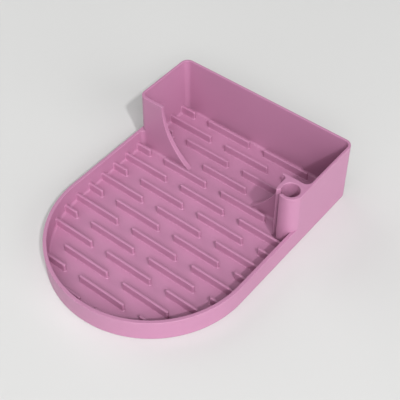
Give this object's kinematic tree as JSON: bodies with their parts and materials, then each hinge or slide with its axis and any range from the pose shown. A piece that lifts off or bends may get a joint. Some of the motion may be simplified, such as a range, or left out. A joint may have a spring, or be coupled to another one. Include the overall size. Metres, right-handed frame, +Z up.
{
  "type": "tumbler drying rack",
  "caption": "D-shaped countertop drip tray with staggered ribs, a tall open caddy across the back and a slit straw tube, for drying a tumbler, its lid and its straw.",
  "frame": {"origin": "centre of the bounding box, on the underside of the tray", "axes": "+X across the tray towards the straw tube's side, +Y along the tray from the round end to the caddy, +Z up"},
  "size_m": [0.15, 0.2036, 0.0499],
  "materials": {
    "plastic": "satin mauve moulded plastic"
  },
  "bodies": {
    "root": {"ribbed_floor": "plastic", "rim_wall": "plastic", "caddy_wall": "plastic", "left_wing": "plastic", "right_wing": "plastic", "straw_tube": "plastic"}
  },
  "joints": []
}
